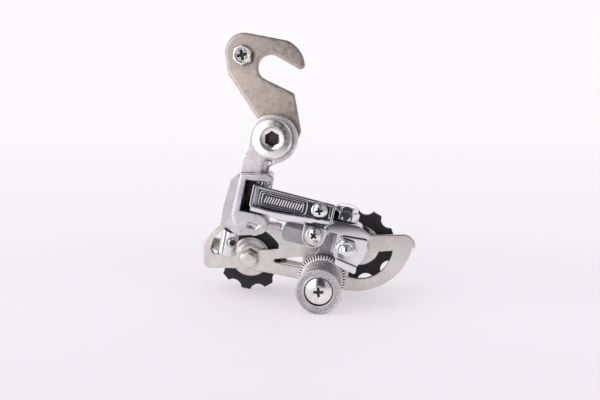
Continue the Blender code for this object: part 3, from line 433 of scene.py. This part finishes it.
def pan_screw(node, cross_length, cross_width, crown, finish, turned_by):
    """A pan-headed Phillips screw that faces outboard."""
    low, high = low_high(node)
    centre = mid(node)
    radius = (high.x - low.x) / 2
    length = high.y - low.y - crown
    shank, pitch = radius * 0.5, 0.7
    rows = dome(radius, crown)
    rows += [(radius, -0.3), (radius - 0.1, -1.0), (shank, -1.0)]
    for i in range(int((length - 2.0) / pitch)):
        rows += [(shank, -1.3 - pitch * i), (shank - 0.25, -1.3 - pitch * (i + 0.5))]
    rows += [(shank, -length + 0.4), (shank - 0.4, -length), (0, -length)]
    bm = turned(rows, 120)
    sink_cross(bm, cross_length, cross_width, 1.25, turned_by, 0.0)
    return own(node + "_fine", bm, facing_out(centre.x, low.y + crown, centre.z), finish, node, 50)


def claw_bolt():
    low, high = low_high("claw_bolt")
    centre = mid("claw_bolt")
    head = 3.0
    length = high.y - low.y - head
    rows = [(3.1 * i / 30, -0.35) for i in range(31)]
    rows += [(3.3, -0.05), (3.6, 0.0), (3.9, -0.1), (4.2, -0.3, 8.0), (4.7, -0.6, 8.0), (4.7, -head, 8.0)]
    rows += [(2.4, -head), (2.4, -head - length + 0.5), (1.9, -head - length), (0, -head - length)]
    bm = turned(rows, 120)
    sink_cross(bm, 4.6, 1.25, 1.2, math.radians(20), -0.4)
    bmesh.ops.rotate(bm, verts=bm.verts, matrix=Matrix.Rotation(math.radians(-8), 3, "Z"))
    own("claw_bolt_fine", bm, facing_out(centre.x, low.y, centre.z), BRIGHT, "claw_bolt", 30)


def hanger_bolt():
    """A broad dished head with a raised rim, a recess round a hex socket painted dark as shade, and a threaded
    end.
    """
    low, high = low_high("hanger_bolt")
    centre = mid("hanger_bolt")
    radius = (high.x - low.x) / 2
    length = high.y - low.y
    edge = [(4.9, -0.4), (5.2, 0.0), (radius - 0.4, -0.5), (radius, -1.1), (radius, -3.4), (5.0, -3.4)]
    rows = [(0, -5.2), (3.4, -5.2, 6.0), (3.5, -1.2, 6.0), (3.62, -0.9), (4.1, -0.7), (4.7, -0.6)]
    rows += soften(edge, 0.3)
    rows += [(5.0, -10.4), (4.4, -10.4)]
    rows += [(4.4 - 0.3 * (i % 2), -10.8 - 0.35 * i) for i in range(6)]
    rows += [(4.1, -length), (0, -length)]
    place = facing_out(centre.x, low.y, centre.z)
    bm = turned(rows, 120)
    # painted shade: the socket's faces get the dark recess material
    for face in bm.faces:
        if -5.3 < face.calc_center_median().z < -1.5 and face.calc_center_median().xy.length < 3.0:
            face.material_index = 1
    own("hanger_bolt_fine", bm, place, TURNED, "hanger_bolt", 30)


def cable_ferrule():
    """The steel sleeve in the cable stop. Its bore, painted dark as shade, faces outboard and a little towards the
    knuckle.
    """
    middle = mid("cable_ferrule")
    centre = Vector(joint("cable_stop_swivel")["pos_m"]) / MM
    turn, bore_r = math.radians(30), 1.2
    bore = (LINK.to_3x3() @ Vector((math.sin(turn), -math.cos(turn), 0))).normalized()

    # painted shade: faces in the bore get the dark recess material
    def paint_bore_shade(bm):
        for face in bm.faces:
            off = face.calc_center_median() + middle - centre
            if (off - bore * off.dot(bore)).length < bore_r:
                face.material_index = 1

    refined("cable_ferrule", BRIGHT, 0.15, reshape=paint_bore_shade)


def body_bracket():
    """The cast bracket, with painted shade on the hollow behind the link's pins."""
    middle = mid("body_bracket")
    low, high = Vector((-14.2, -16.8, -32.7)), Vector((-3.0, -5.5, -17.3))

    # painted shade: faces in the hollow get the dark recess material
    def paint_hollow_shade(bm):
        for face in bm.faces:
            spot = face.calc_center_median() + middle
            if all(a < c < b for a, c, b in zip(low, spot, high)):
                face.material_index = 1

    refined("body_bracket", CAST, 0.6, reshape=paint_hollow_shade, clamp=False)


def acorn_nut():
    """The cable clamp's domed nut: a chamfered hexagon under a polished dome."""
    low, high = low_high("cable_anchor_nut")
    centre = mid("cable_anchor_nut")
    height = high.y - low.y
    base = 2.5
    angles = [math.pi / 2 * i / 20 for i in range(21)]
    rows = [(3.55 * math.sin(a), base + (height - base) * math.cos(a)) for a in angles]
    rows += [(3.6, base - 0.15), (3.9, base - 0.25), (4.25, base - 0.45, 8.2), (4.6, base - 0.8, 8.2)]
    rows += [(4.6, 0, 8.2), (2.45, 0), (2.45, height - 1.0), (0, height - 0.8)]
    bm = turned(rows, 96)
    bmesh.ops.rotate(bm, verts=bm.verts, matrix=Matrix.Rotation(math.radians(12), 3, "Z"))
    own("cable_anchor_nut_fine", bm, facing_out(centre.x, high.y, centre.z), CHROME, "cable_anchor_nut", 30)


def rear_bolt_and_nut():
    """The pivot bolt between the outer link and the knuckle, with a domed hex head, and its lock nut."""
    length = (Vector(joint("knuckle_swing")["pos_m"]) - Vector(joint("link_swing")["pos_m"])).length / MM
    place = on_link(length, 0, 0)
    nut = [(2.6, -2.0), (5.2, -2.0, 10.2), (5.85, -1.6, 10.2), (5.85, 1.35, 10.2), (5.2, 1.75, 10.2)]
    nut += [(2.6, 1.75)]
    corner_ahead = place @ Matrix.Rotation(math.radians(30), 4, "Z")
    own("rear_lock_nut_fine", turned(nut, 96, ring=True), corner_ahead, CHROME, "rear_lock_nut", 30)
    rows = [(0, 5.0), (1.6, 4.95), (3.2, 4.75), (4.1, 4.45, 8.7), (4.6, 4.05, 8.7), (5.0, 3.5, 8.7)]
    rows += [(5.0, 2.0, 8.7), (2.35, 2.0), (2.35, -16.0), (2.05, -16.3), (0, -16.3)]
    own("rear_outer_bolt_fine", turned(rows, 96), corner_ahead, CHROME, "rear_outer_bolt", 30)


def pulley_bolt(label):
    low, high = low_high(label + "_bolt")
    centre = mid(label + "_bolt")
    length = high.y - low.y
    rows = [(0, -0.05), (2.8, 0.0), (3.5, -0.1, 8.0), (4.05, -0.4, 8.0), (4.6, -0.9, 8.0), (4.6, -3.6, 8.0)]
    rows += [(2.1, -3.6), (2.1, 0.4 - length), (1.7, -length), (0, -length)]
    bm = turned(rows, 96)
    own(label + "_bolt_fine", bm, facing_out(centre.x, low.y, centre.z), CAGE, label + "_bolt", 30)


def dust_cap(node, outboard):
    """A pressed cap with a rolled rim, stepped down towards its bore."""
    low, high = low_high(node)
    centre = mid(node)
    radius = (high.x - low.x) / 2
    depth = high.y - low.y
    top = [(2.35, depth), (6.0, depth), (6.6, depth - 0.25), (7.0, depth - 0.5), (radius - 1.2, depth - 0.6)]
    top += [(radius - 0.4, depth - 0.8), (radius, depth - 1.3), (radius, 0), (2.35, 0)]
    place = facing_out(centre.x, high.y, centre.z) if outboard else facing_out(centre.x, low.y, centre.z)
    bm = turned(soften(top, 0.3), 96, ring=True)
    if not outboard:
        bmesh.ops.rotate(bm, verts=bm.verts, matrix=Matrix.Rotation(math.pi, 3, "X"))
    own(node + "_fine", bm, place, CAP, node)


def spring_drum():
    """The alloy spring drum: a stippled front flange, a fluted barrel and a ring of fine teeth."""
    low, high = low_high("spring_drum")
    centre = mid("spring_drum")
    length = high.y - low.y
    teeth_r = (high.x - low.x) / 2
    flutes, flute_depth, teeth, tooth_depth, segments = 50, 0.24, 50, 1.3, 600
    rim = DRUM_FLANGE_R
    rows = soften([(3.0, -1.6), (6.2, -1.6), (6.2, 0.0)], 0.1)
    rows += [(6.7, 0.0), (6.8, -0.08), (rim - 0.7, -0.08), (rim - 0.55, 0.0), (rim - 0.25, -0.06)]
    rows += [(rim, -0.4), (rim, -1.5), (rim - 0.3, -1.8)]
    barrel = len(rows)
    rows += [(DRUM_R, -2.1), (DRUM_R, -10.0), (DRUM_R, 3.2 - length)]
    ring = len(rows)
    rows += [(9.6, 3.0 - length), (teeth_r, 2.7 - length)]
    rows += [(teeth_r, 0.3 - length), (teeth_r - 0.2, 0.1 - length)]
    back = len(rows)
    rows += [(6.9, -length), (6.9, -4.0), (3.0, -4.0)]
    bm = bmesh.new()
    made = []
    for k, (radius, height) in enumerate(rows):
        row = []
        for i in range(segments):
            t = 2 * math.pi * i / segments
            r = radius
            if barrel <= k < ring:
                r -= flute_depth * (0.5 + 0.5 * math.cos(flutes * t))
            if ring <= k < back:
                full = (radius - DRUM_R) / (teeth_r - DRUM_R)
                r -= tooth_depth * smooth_step(math.cos(teeth * t), -0.2, 0.4) * full
            row.append(bm.verts.new((r * math.cos(t), r * math.sin(t), height)))
        made.append(row)
    made.append(made[0])
    for a, b in zip(made, made[1:]):
        for i in range(segments):
            j = (i + 1) % segments
            bm.faces.new((a[i], a[j], b[j], b[i]))
    bmesh.ops.recalc_face_normals(bm, faces=bm.faces)
    own("spring_drum_fine", bm, facing_out(centre.x, low.y, centre.z), STIPPLED, "spring_drum", 32)


def coil(name, node, place, radius, wire_radius, low, high, turns, first, legs):
    """A spring: a round wire wound round local Z, with a straight leg at each end."""
    steps = 40
    points = []
    for i in range(int(turns * steps) + 1):
        t = first + 2 * math.pi * i / steps
        points.append((radius * math.cos(t), radius * math.sin(t), low + (high - low) * i / (turns * steps)))
    if legs:
        points = [legs[0]] + points + [legs[1]]
    bm = tube(points, wire_radius, 12)
    own(name, bm, place, SPRING, node, 60)


def tube(path, radius, sides):
    """A round tube along a path of points, closed at both ends."""
    bm = bmesh.new()
    points = [Vector(p) for p in path]
    last = len(points) - 1
    normal = None
    rings = []
    for i, point in enumerate(points):
        tangent = (points[min(i + 1, last)] - points[max(i - 1, 0)]).normalized()
        normal = tangent.orthogonal() if normal is None else normal - tangent * normal.dot(tangent)
        normal.normalize()
        side = tangent.cross(normal)
        ring = []
        for k in range(sides):
            t = 2 * math.pi * k / sides
            ring.append(bm.verts.new(point + (normal * math.cos(t) + side * math.sin(t)) * radius))
        rings.append(ring)
    for low, high in zip(rings, rings[1:]):
        for k in range(sides):
            m = (k + 1) % sides
            bm.faces.new((low[k], low[m], high[m], high[k]))
    bm.faces.new(rings[0])
    bm.faces.new(rings[-1])
    bmesh.ops.recalc_face_normals(bm, faces=bm.faces)
    return bm


# ---------------------------------------------------------------- outer link


def rounded_frame(x0, x1, z_left, z_right, radius, steps=6):
    """A closed path round a tapering frame: its half-heights differ at the left and right ends."""
    corners = [(x0, z_left[0]), (x1, z_right[0]), (x1, z_right[1]), (x0, z_left[1])]
    path = []
    for i, corner in enumerate(corners):
        here = Vector(corner)
        before = (Vector(corners[i - 1]) - here).normalized() * radius
        after = (Vector(corners[(i + 1) % 4]) - here).normalized() * radius
        for k in range(steps + 1):
            t = k / steps
            path.append((here + before) * (1 - t) ** 2 + here * 2 * t * (1 - t) + (here + after) * t * t)
    return path


def ridge(bm, path, width, height, floor_y, closed=True):
    """Raises a round-topped line along a path of (x, z) on a floor at floor_y, towards the outboard side."""
    section = [(-0.5, 0.0), (-0.38, 0.6), (-0.15, 0.95), (0.15, 0.95), (0.38, 0.6), (0.5, 0.0)]
    count = len(path)
    rows = []
    for i, point in enumerate(path):
        ahead = path[(i + 1) % count] if closed else path[min(i + 1, count - 1)]
        behind = path[i - 1] if closed else path[max(i - 1, 0)]
        tangent = (Vector(ahead) - Vector(behind)).normalized()
        normal = Vector((-tangent.y, tangent.x))
        row = []
        for across, up in section:
            p = Vector(point) + normal * across * width
            row.append(bm.verts.new((p.x, floor_y + 0.05 - up * height, p.y)))
        rows.append(row)
    pairs = list(zip(rows, rows[1:])) + ([(rows[-1], rows[0])] if closed else [])
    for a, b in pairs:
        for k in range(len(section) - 1):
            bm.faces.new((a[k], a[k + 1], b[k + 1], b[k]))
        bm.faces.new((a[0], b[0], b[-1], a[-1]))
    if not closed:
        bm.faces.new(rows[0])
        bm.faces.new(rows[-1])


def round_end(bm):
    """Rounds the outboard edge of the link's end at the bracket."""
    lip_y, end_x = -8.1, -3.3

    def at_end(edge):
        return all(abs(v.co.x - end_x) < 0.1 and abs(v.co.y - lip_y) < 0.1 for v in edge.verts)

    end = [edge for edge in bm.edges if at_end(edge)]
    bmesh.ops.bevel(bm, geom=end, offset=1.2, segments=6, profile=0.5, affect="EDGES")


def lower_band(bm):
    """The rolled band under the trough: from the lip it curves down and back to the bend."""
    stations = [(-2.6, -4.3, 1.9), (4.6, -4.7, 1.7), (8.5, -4.6, 2.7)]  # x, the lip's z and the band's height
    stations += [(13.0, -4.4, 2.9), (21.0, -3.8, 2.5), (32.2, -3.1, 1.7)]
    lip_y, back_y, steps = -8.0, -4.0, 6
    rows = []
    for x, lip_z, drop in stations:
        section = []
        for i in range(steps + 1):
            t = i / steps
            section.append((lip_y + 0.9 * t ** 1.8, lip_z + 0.1 - (drop + 0.1) * t))
        section.append((back_y, lip_z - drop))
        section.append((back_y, lip_z + 0.1))
        rows.append([bm.verts.new((x, y, z)) for y, z in section])
    count = len(rows[0])
    for a, b in zip(rows, rows[1:]):
        for k in range(count):
            m = (k + 1) % count
            bm.faces.new((a[k], a[m], b[m], b[k]))
    bm.faces.new(rows[0])
    bm.faces.new(rows[-1])


def outer_link():
    """The chromed link. Its trough carries a raised double frame round a row of slanted ribs."""
    refined("outer_link", CHROME, 0.35, LINK, round_end)
    bm = bmesh.new()
    floor_y = TROUGH_Y - LINK.translation.y
    ridge(bm, rounded_frame(0.1, 21.2, (-3.3, 3.4), (-3.0, 3.05), 1.5), 0.5, 0.4, floor_y)
    ridge(bm, rounded_frame(1.3, 19.6, (-2.4, 2.5), (-2.15, 2.2), 0.9), 0.42, 0.34, floor_y)
    for i in range(15):
        x = 2.9 + 1.12 * i
        ridge(bm, [(x - 0.35, -1.5), (x, 0.0), (x + 0.35, 1.5)], 0.48, 0.36, floor_y, closed=False)
    lower_band(bm)
    bmesh.ops.recalc_face_normals(bm, faces=bm.faces)
    piece("outer_link_relief", bm, LINK, CHROME, "outer_link", ["outer_link"], 60)


# ---------------------------------------------------------------- studio


def studio():
    """A pale studio. Shiny faces see it as light and dark bands, and the camera sees only the backdrop."""
    scene = bpy.context.scene
    scene.view_settings.view_transform = "Standard"
    world = bpy.data.worlds.new("studio")
    scene.world = world
    world.use_nodes = True
    g = Graph(world.node_tree)
    ray = g.node("TexCoord").outputs["Generated"]
    split = g.node("SeparateXYZ", {0: ray})
    across, deep, up = split.outputs
    turn = g.math("MULTIPLY", g.math("ARCTAN2", across, g.math("MULTIPLY", deep, -1.0)), 180 / math.pi)

    def band(value, low, high, soft):
        after = g.step(value, low - soft, low + soft)
        return g.math("MULTIPLY", after, g.step(value, high + soft, high - soft))

    # each band is in degrees round from straight outboard towards the knuckle, with its soft edge and colour
    seen = (0.75, 0.73, 0.77)
    for low, high, soft, colour in (
        (-98, -14, 4, (2.05, 2.01, 2.1)),
        (-70, -50, 3, (0.30, 0.30, 0.33)),
        (-12, 20, 3.5, (0.05, 0.05, 0.06)),
        (24, 72, 6, (0.48, 0.45, 0.45)),
        (74, 108, 8, (0.10, 0.09, 0.09)),
    ):
        seen = g.mix(band(turn, low, high, soft), seen, colour)
    seen = g.mix(g.step(up, 0.60, 0.80), seen, (0.14, 0.14, 0.15))
    seen = g.mix(g.math("MULTIPLY", g.step(deep, 0.1, 0.35), g.step(up, 0.2, 0.5)), seen, (1.15, 1.12, 1.2))
    seen = g.mix(g.step(up, -0.2, -0.32), seen, (0.92, 0.88, 0.93))
    backdrop = g.mix(g.step(up, -0.38, 0.12), (0.885, 0.84, 0.89), (0.985, 0.965, 0.995))
    path = g.node("LightPath")
    colour = g.mix(path.outputs["Is Glossy Ray"], (0.74, 0.72, 0.75), seen)
    colour = g.mix(path.outputs["Is Camera Ray"], colour, backdrop)
    background = g.node("Background", {"Color": colour, "Strength": 1.0})
    g.node("OutputWorld", {"Surface": background.outputs[0]})

    lamp("key", (-0.30, -0.22, 0.45), 0.40, 0.9)
    lamp("fill", (0.35, -0.30, 0.35), 0.40, 0.5)
    camera()
    floor()


def lamp(name, place, size, power):
    """A round lamp aimed at the derailleur's middle, which shiny faces don't mirror."""
    aim = Vector((0.01, 0, -0.04))
    light = bpy.data.lights.new(name, "AREA")
    light.shape = "DISK"
    light.size = size
    light.energy = power
    obj = bpy.data.objects.new(name, light)
    obj.location = place
    obj.rotation_mode = "QUATERNION"
    obj.rotation_quaternion = (aim - Vector(place)).to_track_quat("-Z", "Y")
    obj.visible_glossy = False
    bpy.context.scene.collection.objects.link(obj)


def camera():
    """The camera, to the right of straight outboard and above, looking down at the derailleur."""
    place = Vector((37.10, -270.73, 11.38))
    azimuth, elevation = math.radians(5.5), math.radians(8.3)
    level = Vector((-math.sin(azimuth), math.cos(azimuth), 0))
    ahead = level * math.cos(elevation) - Vector((0, 0, math.sin(elevation)))
    right = Vector((math.cos(azimuth), math.sin(azimuth), 0))
    data = bpy.data.cameras.new("camera")
    data.lens = 36
    data.sensor_width = 36
    data.clip_start = 0.01
    obj = bpy.data.objects.new("camera", data)
    turn = Matrix((right, right.cross(ahead), -ahead)).transposed().to_4x4()
    obj.matrix_world = Matrix.Translation(place * MM) @ turn
    bpy.context.scene.collection.objects.link(obj)
    bpy.context.scene.camera = obj


def resting_plane():
    """The plane under the drum's flange, its toothed ring and the rear pulley, where the derailleur rests."""
    drum_low, drum_high = low_high("spring_drum")
    centre = mid("spring_drum")
    flange = Vector((centre.x, drum_low.y, centre.z - DRUM_FLANGE_R))
    ring = Vector((centre.x, drum_high.y, drum_low.z))
    pulley = mid("tension_pulley")
    tooth = Vector((pulley.x, pulley.y, low_high("tension_pulley")[0].z))
    normal = (ring - flange).cross(tooth - flange).normalized()
    return flange, normal if normal.z > 0 else -normal


def floor():
    """A pale floor that fades into the backdrop, so no horizon shows. It is painted darker towards the camera, a
    painted shade, and half of its colour is its own glow, a painted light that keeps shadows on it faint.
    """
    point, normal = resting_plane()
    made, g = new_material("floor")
    spot = g.node("TexCoord").outputs["Object"]
    fade = g.step(g.vector("LENGTH", spot), 0.07, 0.30)
    ahead = g.step(g.node("SeparateXYZ", {0: spot}).outputs[1], -0.11, -0.15)
    fade = g.math("MAXIMUM", fade, g.math("MULTIPLY", ahead, g.node("LightPath").outputs["Is Glossy Ray"]))
    cloud = g.noise(spot, 14.0, 3.0)
    # painted shade: the floor's tone and glow get darker towards the camera
    painted_front_shade = g.step(g.node("SeparateXYZ", {0: spot}).outputs[1], 0.02, -0.14)
    tone = g.mix(painted_front_shade, g.mix(cloud, (0.93, 0.895, 0.935), (0.95, 0.915, 0.955)), (0.86, 0.825, 0.865))
    matte = g.node("BsdfPrincipled", {"Base Color": tone, "Roughness": 0.6, "Specular IOR Level": 0.15})
    glow = g.mix(painted_front_shade, (0.90, 0.86, 0.905), (0.875, 0.835, 0.88))
    lit = g.node("Emission", {"Color": glow, "Strength": 1.0})
    paper = g.node("MixShader", {0: 0.5, 1: matte.outputs[0], 2: lit.outputs[0]})
    mixed = g.node("MixShader", {0: fade, 1: paper.outputs[0], 2: g.node("BsdfTransparent").outputs[0]})
    g.node("OutputMaterial", {"Surface": mixed.outputs[0]})
    bm = bmesh.new()
    bmesh.ops.create_grid(bm, x_segments=8, y_segments=8, size=0.8)
    mesh = bpy.data.meshes.new("floor")
    bm.to_mesh(mesh)
    bm.free()
    mesh.materials.append(made)
    obj = bpy.data.objects.new("floor", mesh)
    turn = Vector((0, 0, 1)).rotation_difference(normal).to_matrix().to_4x4()
    obj.matrix_world = Matrix.Translation((point - normal * 0.05) * MM) @ turn
    bpy.context.scene.collection.objects.link(obj)


# ---------------------------------------------------------------- build


def build():
    for node, finish, width in (
        ("claw_nut", ZINC, 0.4),
        ("hanger_washer", SPRING, 0.2),
        ("front_outer_pin", BRIGHT, 0.2),
        ("front_inner_pin", BRIGHT, 0.2),
        ("cable_stop_pin", BRIGHT, 0.2),
        ("cable_stop_barrel", CHROME, 0.25),
        ("cable_anchor_bolt", BRIGHT, 0.2),
        ("cable_anchor_washer", CHROME, 0.25),
        ("inner_link", CHROME, 0.3),
        ("knuckle_casting", SANDED, 0.5),
        ("rear_inner_pin", BRIGHT, 0.2),
        ("cage_pivot_stud", BRIGHT, 0.2),
        ("cage_stop_pin", BRIGHT, 0.2),
        ("guide_bush", BRIGHT, 0.2),
        ("tension_bush", BRIGHT, 0.2),
        ("guide_pulley", RESIN, 0.3),
        ("tension_pulley", RESIN, 0.3),
    ):
        refined(node, finish, width)
    refined("claw_hanger", ZINC, 0.5)
    refined("cage_outer_plate", CAGE, 0.4)
    refined("cage_inner_plate", CAGE, 0.4)
    body_bracket()
    claw_bolt()
    hanger_bolt()
    outer_link()
    cable_ferrule()
    acorn_nut()
    rear_bolt_and_nut()
    pan_screw("high_limit_screw", 3.3, 0.85, 1.3, BRIGHT, math.radians(10))
    pan_screw("low_limit_screw", 3.1, 0.8, 1.3, BRIGHT, math.radians(48))
    pan_screw("cage_end_screw", 4.4, 1.0, 1.1, BRIGHT, math.radians(2))
    spring_drum()
    for label in ("guide", "tension"):
        pulley_bolt(label)
        dust_cap(label + "_cap_outer", True)
        dust_cap(label + "_cap_inner", False)
    coil("return_spring_fine", "return_spring", LINK, 2.95, 0.45, -1.9, 1.9, 4.0, math.pi / 2,
         [(-3.0, 3.2, -1.9), (7.5, 2.35, 1.9)])
    drum = mid("cage_spring")
    drum_low, drum_high = low_high("cage_spring")
    span = drum_high.y - drum_low.y - 1.4
    place = facing_out(drum.x, drum_high.y - 0.7, drum.z)
    coil("cage_spring_fine", "cage_spring", place, 5.35, 0.7, 0, span, 6.5, 0, None)


build()
studio()
